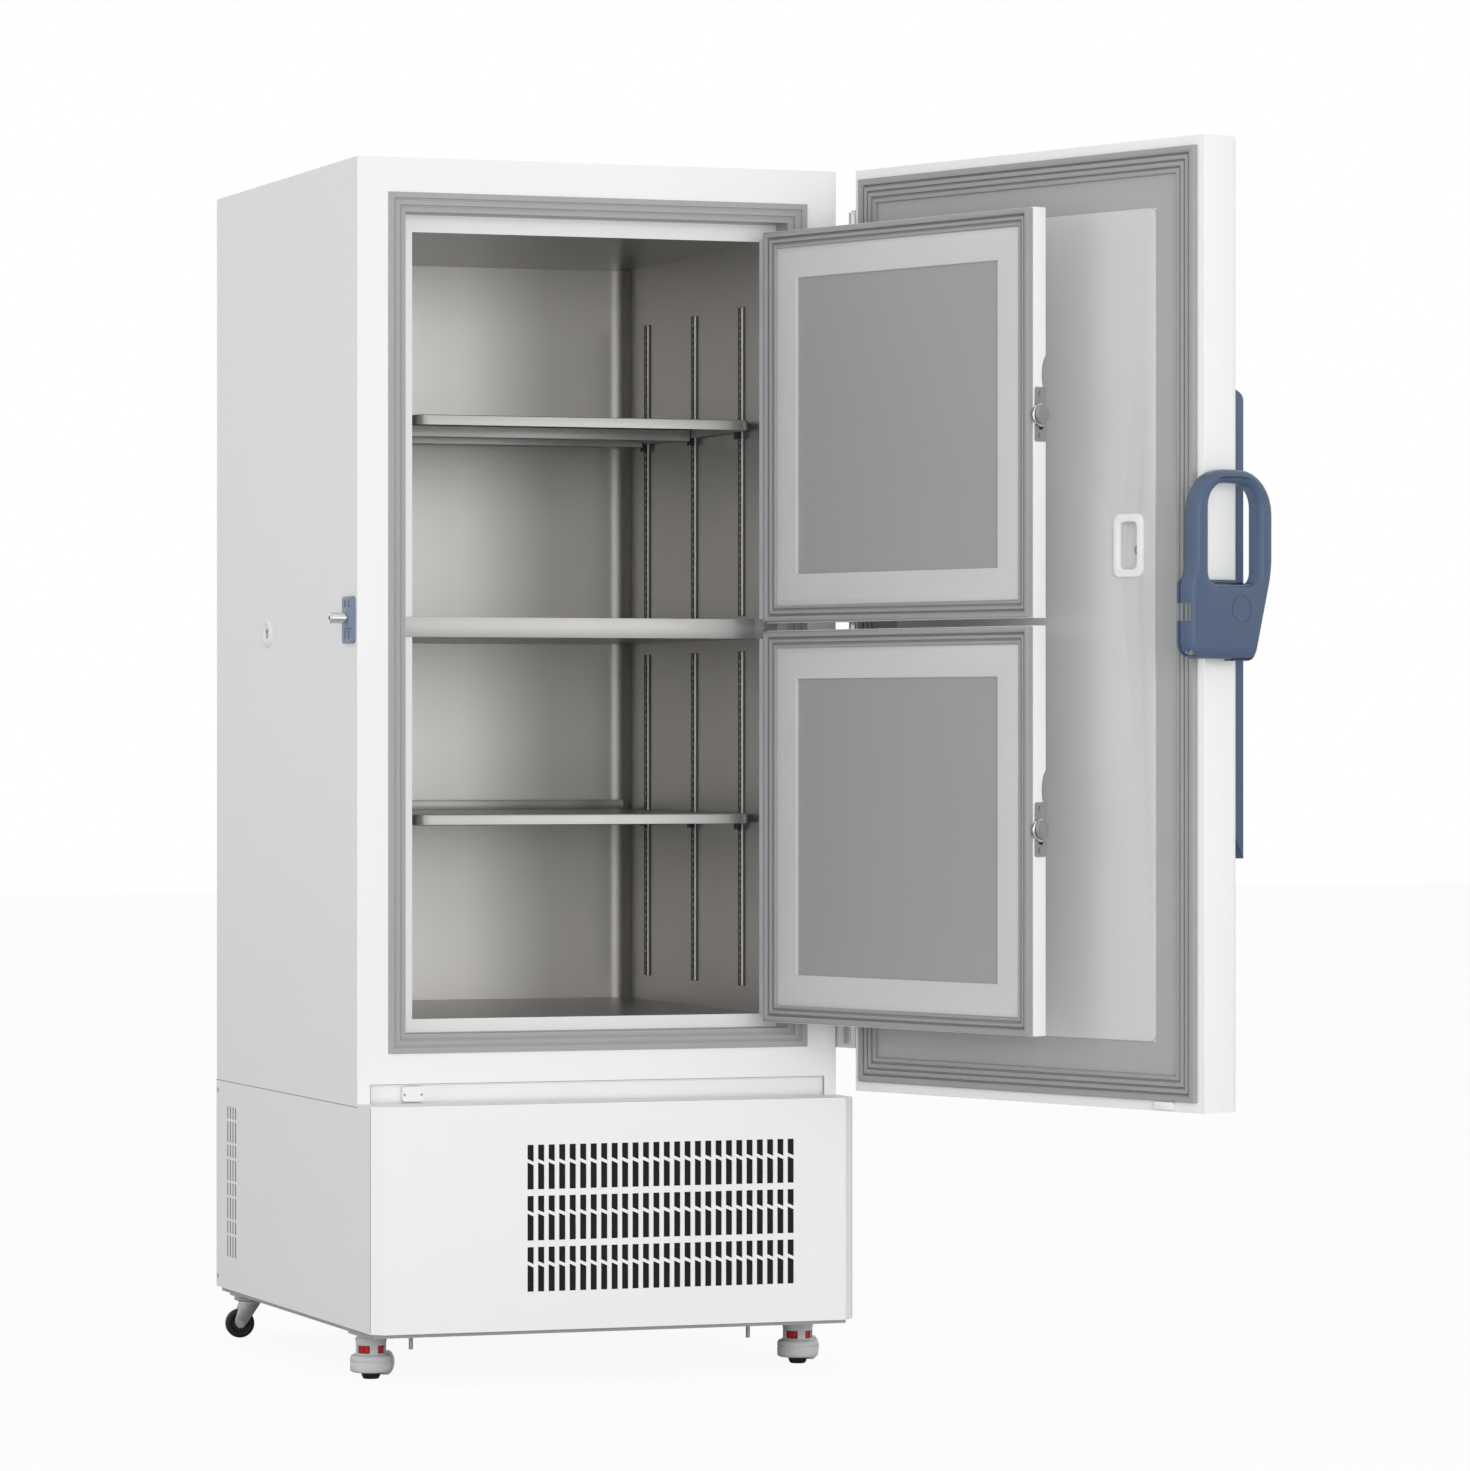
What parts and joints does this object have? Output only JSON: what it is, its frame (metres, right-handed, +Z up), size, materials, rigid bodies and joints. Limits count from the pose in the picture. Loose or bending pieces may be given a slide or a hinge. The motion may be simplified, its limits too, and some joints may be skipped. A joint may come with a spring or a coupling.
{
  "type": "ultra low temperature freezer",
  "caption": "Upright insulated laboratory freezer with its thick outer door and two inner doors standing open on a shelved steel chamber, over a slotted machine compartment on casters.",
  "frame": {"origin": "on the floor under the middle of the object's outline as it stands, doors open", "axes": "+X to the right across the front, +Y to the back, +Z up"},
  "size_m": [1.2722, 1.7732, 1.98],
  "materials": {
    "painted_white": "satin powder coat",
    "white_plastic": "satin moulded",
    "liner_steel": "fine brushed",
    "shelf_steel": "fine brushed",
    "panel_sheet": "satin",
    "light_gasket": "satin",
    "blue_grey_plastic": "satin moulded",
    "bright_steel": "turned",
    "foam": "rigid foam, rough",
    "vacuum_foil": "crinkled foil over a fibre core",
    "copper": "drawn",
    "black_plastic": "satin",
    "screen_glass": "polished",
    "black_steel": "semi gloss",
    "filter_fabric": "open weave",
    "zinc_steel": "zinc plated",
    "aluminium_fins": "mill",
    "black_rubber": "satin",
    "grey_cast": "satin",
    "white_nylon": "satin",
    "red_plastic": "satin",
    "galvanized": "spangled zinc"
  },
  "bodies": {
    "cabinet": {"outer_case": "painted_white", "front_strip": "white_plastic", "breaker_frame": "white_plastic", "inner_liner": "liner_steel", "vacuum_panels": "vacuum_foil", "foam_insulation": "foam", "evaporator_coil": "copper", "middle_divider": "shelf_steel", "shelf_rails": "liner_steel", "shelves": "shelf_steel", "access_port": "white_plastic", "striker_bracket": "blue_grey_plastic", "cabinet_hinge_leaves": "grey_cast", "steel_pins": "bright_steel", "front_grille_panel": "painted_white", "machine_panels": "painted_white", "clips_and_mains_inlet": "black_plastic", "base_pan": "galvanized", "compressors": "black_steel", "air_filter": "filter_fabric", "condenser": "aluminium_fins", "fan_motor": "black_steel", "fan_shroud_and_control_box": "galvanized", "caster_plates": "zinc_steel"},
    "outer_door": {"outer_door_hinge_leaves": "grey_cast", "outer_door_shell": "painted_white", "outer_door_fittings": "white_plastic", "outer_door_liner": "panel_sheet", "outer_door_foam": "foam", "outer_door_panel": "panel_sheet", "outer_door_gasket": "light_gasket", "handle_trim_strip": "blue_grey_plastic", "control_panel": "blue_grey_plastic", "control_glass": "screen_glass", "handle_base": "blue_grey_plastic"},
    "door_handle": {"handle": "blue_grey_plastic", "catch_claw": "bright_steel"},
    "condenser_fan": {"condenser_fan": "black_plastic"},
    "inner_door_upper": {"inner_door_upper_shell": "white_plastic", "inner_door_upper_panel": "panel_sheet", "inner_door_upper_gasket": "light_gasket", "inner_door_upper_hardware": "bright_steel"},
    "inner_latch_upper": {"inner_door_upper_latch_cam": "bright_steel"},
    "inner_door_lower": {"inner_door_lower_shell": "white_plastic", "inner_door_lower_panel": "panel_sheet", "inner_door_lower_gasket": "light_gasket", "inner_door_lower_hardware": "bright_steel"},
    "inner_latch_lower": {"inner_door_lower_latch_cam": "bright_steel"},
    "front_caster_left": {"front_caster_left": "grey_cast"},
    "front_wheel_left": {"front_wheel_left": "white_nylon"},
    "level_dial_left": {"level_dial_left": "red_plastic"},
    "level_foot_left": {"level_foot_left": "black_rubber"},
    "rear_fork_left": {"rear_fork_left": "zinc_steel"},
    "rear_wheel_left": {"rear_wheel_left": "black_rubber"},
    "front_caster_right": {"front_caster_right": "grey_cast"},
    "front_wheel_right": {"front_wheel_right": "white_nylon"},
    "level_dial_right": {"level_dial_right": "red_plastic"},
    "level_foot_right": {"level_foot_right": "black_rubber"},
    "rear_fork_right": {"rear_fork_right": "zinc_steel"},
    "rear_wheel_right": {"rear_wheel_right": "black_rubber"}
  },
  "joints": [
    {"name": "outer_door_hinge", "type": "hinge", "parent": "cabinet", "child": "outer_door", "pos_m": [0.24919, -0.01862, 1], "axis": [0, 0, 1], "range_deg": [-110.2, 20]},
    {"name": "inner_door_upper_hinge", "type": "hinge", "parent": "cabinet", "child": "inner_door_upper", "pos_m": [0.14089, 0.02218, 1.553], "axis": [0, 0, 1], "range_deg": [-110.2, 20]},
    {"name": "inner_door_lower_hinge", "type": "hinge", "parent": "cabinet", "child": "inner_door_lower", "pos_m": [0.14089, 0.02218, 0.898], "axis": [0, 0, 1], "range_deg": [-110.2, 20]},
    {"name": "handle_pivot", "type": "hinge", "parent": "outer_door", "child": "door_handle", "pos_m": [0.56651, -0.83241, 1.2406], "axis": [-0.3453, 0.9385, 0], "range_deg": [0, 50]},
    {"name": "inner_latch_upper_turn", "type": "hinge", "parent": "inner_door_upper", "child": "inner_latch_upper", "pos_m": [0.34258, -0.59377, 1.55], "axis": [-0.3453, 0.9385, 0], "range_deg": [0, 90]},
    {"name": "inner_latch_lower_turn", "type": "hinge", "parent": "inner_door_lower", "child": "inner_latch_lower", "pos_m": [0.34258, -0.59377, 0.897], "axis": [-0.3453, 0.9385, 0], "range_deg": [0, 90]},
    {"name": "condenser_fan_spin", "type": "hinge", "parent": "cabinet", "child": "condenser_fan", "pos_m": [-0.10411, 0.07458, 0.262], "axis": [0, 1, 0], "continuous": true},
    {"name": "front_swivel_left", "type": "hinge", "parent": "cabinet", "child": "front_caster_left", "pos_m": [-0.55411, 0.07958, 0.06], "axis": [0, 0, 1], "continuous": true},
    {"name": "front_wheel_left_spin", "type": "hinge", "parent": "front_caster_left", "child": "front_wheel_left", "pos_m": [-0.525, 0.104, 0.023], "axis": [0.6428, -0.766, 0], "continuous": true},
    {"name": "level_dial_left_turn", "type": "hinge", "parent": "front_caster_left", "child": "level_dial_left", "pos_m": [-0.55411, 0.07958, 0.0485], "axis": [0, 0, 1], "range_deg": [-1080, 0]},
    {"name": "level_foot_left_travel", "type": "slide", "parent": "front_caster_left", "child": "level_foot_left", "axis": [0, 0, 1], "range_m": [-0.009, 0]},
    {"name": "rear_swivel_left", "type": "hinge", "parent": "cabinet", "child": "rear_fork_left", "pos_m": [-0.55411, 0.81158, 0.07], "axis": [0, 0, 1], "continuous": true},
    {"name": "rear_wheel_left_spin", "type": "hinge", "parent": "rear_fork_left", "child": "rear_wheel_left", "pos_m": [-0.57381, 0.81505, 0.025], "axis": [0.1736, 0.9848, 0], "continuous": true},
    {"name": "front_swivel_right", "type": "hinge", "parent": "cabinet", "child": "front_caster_right", "pos_m": [0.18589, 0.07958, 0.06], "axis": [0, 0, 1], "continuous": true},
    {"name": "front_wheel_right_spin", "type": "hinge", "parent": "front_caster_right", "child": "front_wheel_right", "pos_m": [0.215, 0.104, 0.023], "axis": [0.6428, -0.766, 0], "continuous": true},
    {"name": "level_dial_right_turn", "type": "hinge", "parent": "front_caster_right", "child": "level_dial_right", "pos_m": [0.18589, 0.07958, 0.0485], "axis": [0, 0, 1], "range_deg": [-1080, 0]},
    {"name": "level_foot_right_travel", "type": "slide", "parent": "front_caster_right", "child": "level_foot_right", "axis": [0, 0, 1], "range_m": [-0.009, 0]},
    {"name": "rear_swivel_right", "type": "hinge", "parent": "cabinet", "child": "rear_fork_right", "pos_m": [0.18589, 0.81158, 0.07], "axis": [0, 0, 1], "continuous": true},
    {"name": "rear_wheel_right_spin", "type": "hinge", "parent": "rear_fork_right", "child": "rear_wheel_right", "pos_m": [0.16619, 0.81505, 0.025], "axis": [0.1736, 0.9848, 0], "continuous": true}
  ],
  "couplings": [
    {"joint": "inner_door_upper_hinge", "follows": "outer_door_hinge", "ratio": 1},
    {"joint": "inner_door_lower_hinge", "follows": "outer_door_hinge", "ratio": 1},
    {"joint": "level_foot_left_travel", "follows": "level_dial_left_turn", "m_per_rad": 0.00047746},
    {"joint": "level_foot_right_travel", "follows": "level_dial_right_turn", "m_per_rad": 0.00047746}
  ]
}
